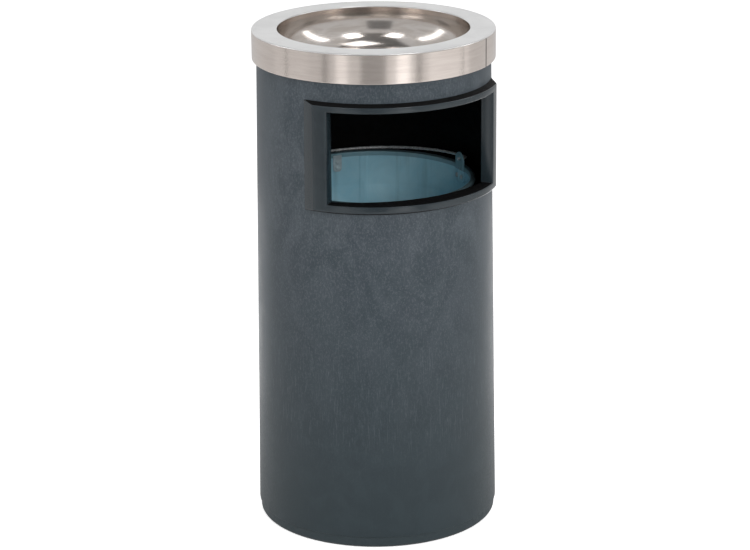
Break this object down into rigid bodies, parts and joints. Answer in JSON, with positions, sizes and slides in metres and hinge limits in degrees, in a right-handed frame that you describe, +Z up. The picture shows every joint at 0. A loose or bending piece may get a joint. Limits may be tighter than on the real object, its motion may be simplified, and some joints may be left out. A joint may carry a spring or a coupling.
{
  "type": "ashtray bin",
  "caption": "Round free-standing ashtray bin: polished lift-off ash bowl head over a grey moulded body with a framed side opening and a galvanised inner bucket with a wire bail.",
  "frame": {"origin": "centre of the underside of the base, on the axis of the round body", "axes": "+Z up along the axis of the body; the insertion opening faces -Y; +X is to the right seen from the front"},
  "size_m": [0.324, 0.3266, 0.67],
  "materials": {
    "mottled_plastic": "fine mottled grey, satin, lightly scratched",
    "smooth_plastic": "smooth satin dark grey moulding",
    "base_plastic": "matt dark grey, heavy moulded foot",
    "polished_steel": "polished stainless steel",
    "bowl_steel": "polished stainless steel, pressed",
    "galvanised_steel": "hot-dip galvanised, blue-grey spangle",
    "zinc_steel": "bright zinc plate",
    "wire_steel": "drawn wire, bright zinc plate"
  },
  "bodies": {
    "root": {"base_plug": "base_plastic", "body_shell": "mottled_plastic", "opening_frame": "smooth_plastic", "base_screw_1": "zinc_steel", "base_screw_2": "zinc_steel", "base_screw_3": "zinc_steel", "base_screw_4": "zinc_steel", "frame_screw_1": "zinc_steel", "frame_screw_2": "zinc_steel", "frame_screw_3": "zinc_steel", "frame_screw_4": "zinc_steel"},
    "head": {"top_ring": "polished_steel", "ash_bowl": "bowl_steel", "head_collar": "zinc_steel"},
    "bucket": {"bucket_wall": "galvanised_steel", "bucket_base": "galvanised_steel", "bucket_ear_right": "galvanised_steel", "bucket_ear_left": "galvanised_steel", "rest_plate": "galvanised_steel", "bail_rest": "galvanised_steel", "ear_rivet_right_front": "zinc_steel", "ear_rivet_right_rear": "zinc_steel", "ear_rivet_left_front": "zinc_steel", "ear_rivet_left_rear": "zinc_steel", "rest_rivet_lower": "zinc_steel", "rest_rivet_upper": "zinc_steel"},
    "bail": {"bail_wire": "wire_steel"}
  },
  "joints": [
    {"name": "bucket_lift", "type": "slide", "parent": "root", "child": "bucket", "axis": [0, 0, 1], "range_m": [0, 0.7]},
    {"name": "head_lift", "type": "slide", "parent": "root", "child": "head", "axis": [0, 0, 1], "range_m": [0, 0.88]},
    {"name": "bail_swing", "type": "hinge", "parent": "bucket", "child": "bail", "pos_m": [0, 0, 0.476], "axis": [1, 0, 0], "range_deg": [0, 75]}
  ],
  "couplings": [
    {"joint": "head_lift", "follows": "bucket_lift", "ratio": 1.25}
  ]
}
